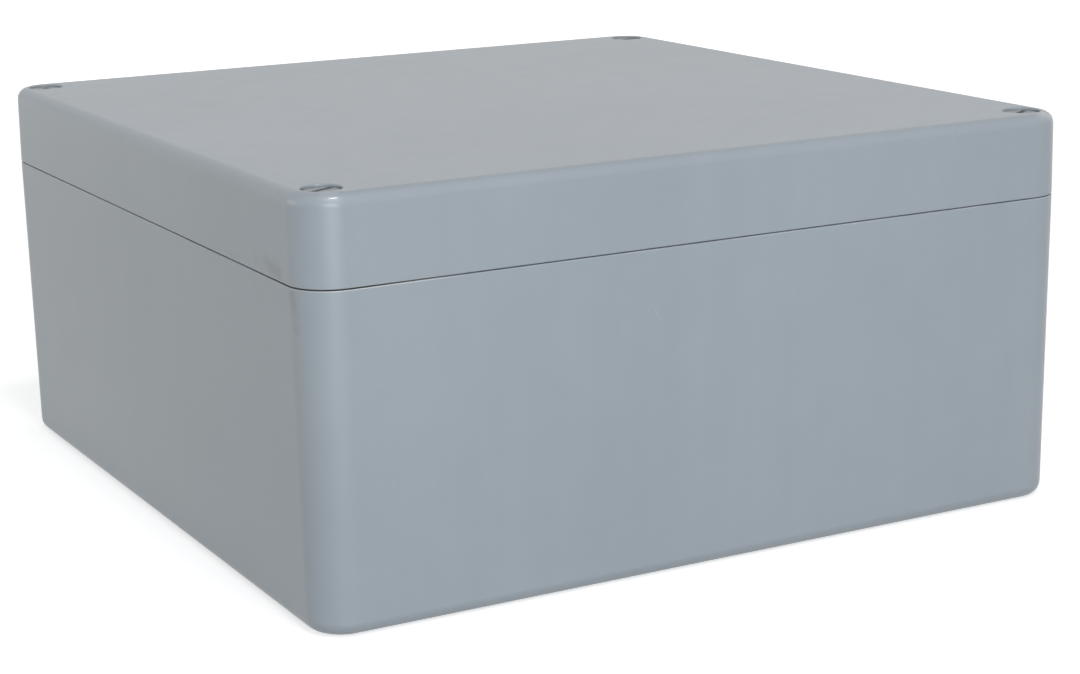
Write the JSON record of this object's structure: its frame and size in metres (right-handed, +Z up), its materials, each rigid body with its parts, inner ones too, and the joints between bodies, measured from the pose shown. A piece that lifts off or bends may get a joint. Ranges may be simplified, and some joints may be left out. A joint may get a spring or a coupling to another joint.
{
  "type": "fibreglass enclosure",
  "caption": "Square fibreglass enclosure: deep base with corner screw columns, fixing wells and plate bosses, and a gasketed lift-off lid held by captive slotted screws.",
  "frame": {"origin": "centre of the underside, on the surface that the enclosure stands on", "axes": "+Z up through the lid, X along the 250 mm width, Y along the 255 mm depth, front towards -Y"},
  "size_m": [0.25, 0.255, 0.12],
  "materials": {
    "moulded_grp": "satin, hot-pressed glass-fibre polyester, pale grey",
    "moulded_grp_lid": "satin, hot-pressed glass-fibre polyester, pale grey",
    "gasket_rubber": "matt silicone rubber",
    "stainless_steel": "turned stainless steel",
    "nylon": "natural nylon",
    "brass": "turned brass"
  },
  "bodies": {
    "base": {"enclosure_base": "moulded_grp", "screw_insert_front_left": "brass", "plate_insert_front_left": "brass", "screw_insert_front_right": "brass", "plate_insert_front_right": "brass", "screw_insert_back_left": "brass", "plate_insert_back_left": "brass", "screw_insert_back_right": "brass", "plate_insert_back_right": "brass"},
    "lid": {"lid": "moulded_grp_lid", "gasket": "gasket_rubber", "retaining_washer_front_left": "nylon", "retaining_washer_front_right": "nylon", "retaining_washer_back_left": "nylon", "retaining_washer_back_right": "nylon"},
    "washer_front_left": {"screw_washer_front_left": "stainless_steel"},
    "screw_front_left": {"lid_screw_front_left": "stainless_steel"},
    "washer_front_right": {"screw_washer_front_right": "stainless_steel"},
    "screw_front_right": {"lid_screw_front_right": "stainless_steel"},
    "washer_back_left": {"screw_washer_back_left": "stainless_steel"},
    "screw_back_left": {"lid_screw_back_left": "stainless_steel"},
    "washer_back_right": {"screw_washer_back_right": "stainless_steel"},
    "screw_back_right": {"lid_screw_back_right": "stainless_steel"}
  },
  "joints": [
    {"name": "lid_lift", "type": "slide", "parent": "base", "child": "lid", "axis": [0, 0, 1], "range_m": [0, 0.15]},
    {"name": "screw_rise_front_left", "type": "slide", "parent": "lid", "child": "washer_front_left", "axis": [0, 0, 1], "range_m": [0, 0.014]},
    {"name": "screw_turn_front_left", "type": "hinge", "parent": "washer_front_left", "child": "screw_front_left", "pos_m": [-0.115, -0.1165, 0.1155], "axis": [0, 0, 1], "range_deg": [0, 5041]},
    {"name": "screw_rise_front_right", "type": "slide", "parent": "lid", "child": "washer_front_right", "axis": [0, 0, 1], "range_m": [0, 0.014]},
    {"name": "screw_turn_front_right", "type": "hinge", "parent": "washer_front_right", "child": "screw_front_right", "pos_m": [0.115, -0.1165, 0.1155], "axis": [0, 0, 1], "range_deg": [0, 5041]},
    {"name": "screw_rise_back_left", "type": "slide", "parent": "lid", "child": "washer_back_left", "axis": [0, 0, 1], "range_m": [0, 0.014]},
    {"name": "screw_turn_back_left", "type": "hinge", "parent": "washer_back_left", "child": "screw_back_left", "pos_m": [-0.115, 0.1165, 0.1155], "axis": [0, 0, 1], "range_deg": [0, 5041]},
    {"name": "screw_rise_back_right", "type": "slide", "parent": "lid", "child": "washer_back_right", "axis": [0, 0, 1], "range_m": [0, 0.014]},
    {"name": "screw_turn_back_right", "type": "hinge", "parent": "washer_back_right", "child": "screw_back_right", "pos_m": [0.115, 0.1165, 0.1155], "axis": [0, 0, 1], "range_deg": [0, 5041]}
  ],
  "couplings": [
    {"joint": "screw_turn_front_left", "follows": "screw_rise_front_left", "rad_per_m": 6283.2},
    {"joint": "screw_turn_front_right", "follows": "screw_rise_front_right", "rad_per_m": 6283.2},
    {"joint": "screw_turn_back_left", "follows": "screw_rise_back_left", "rad_per_m": 6283.2},
    {"joint": "screw_turn_back_right", "follows": "screw_rise_back_right", "rad_per_m": 6283.2}
  ]
}
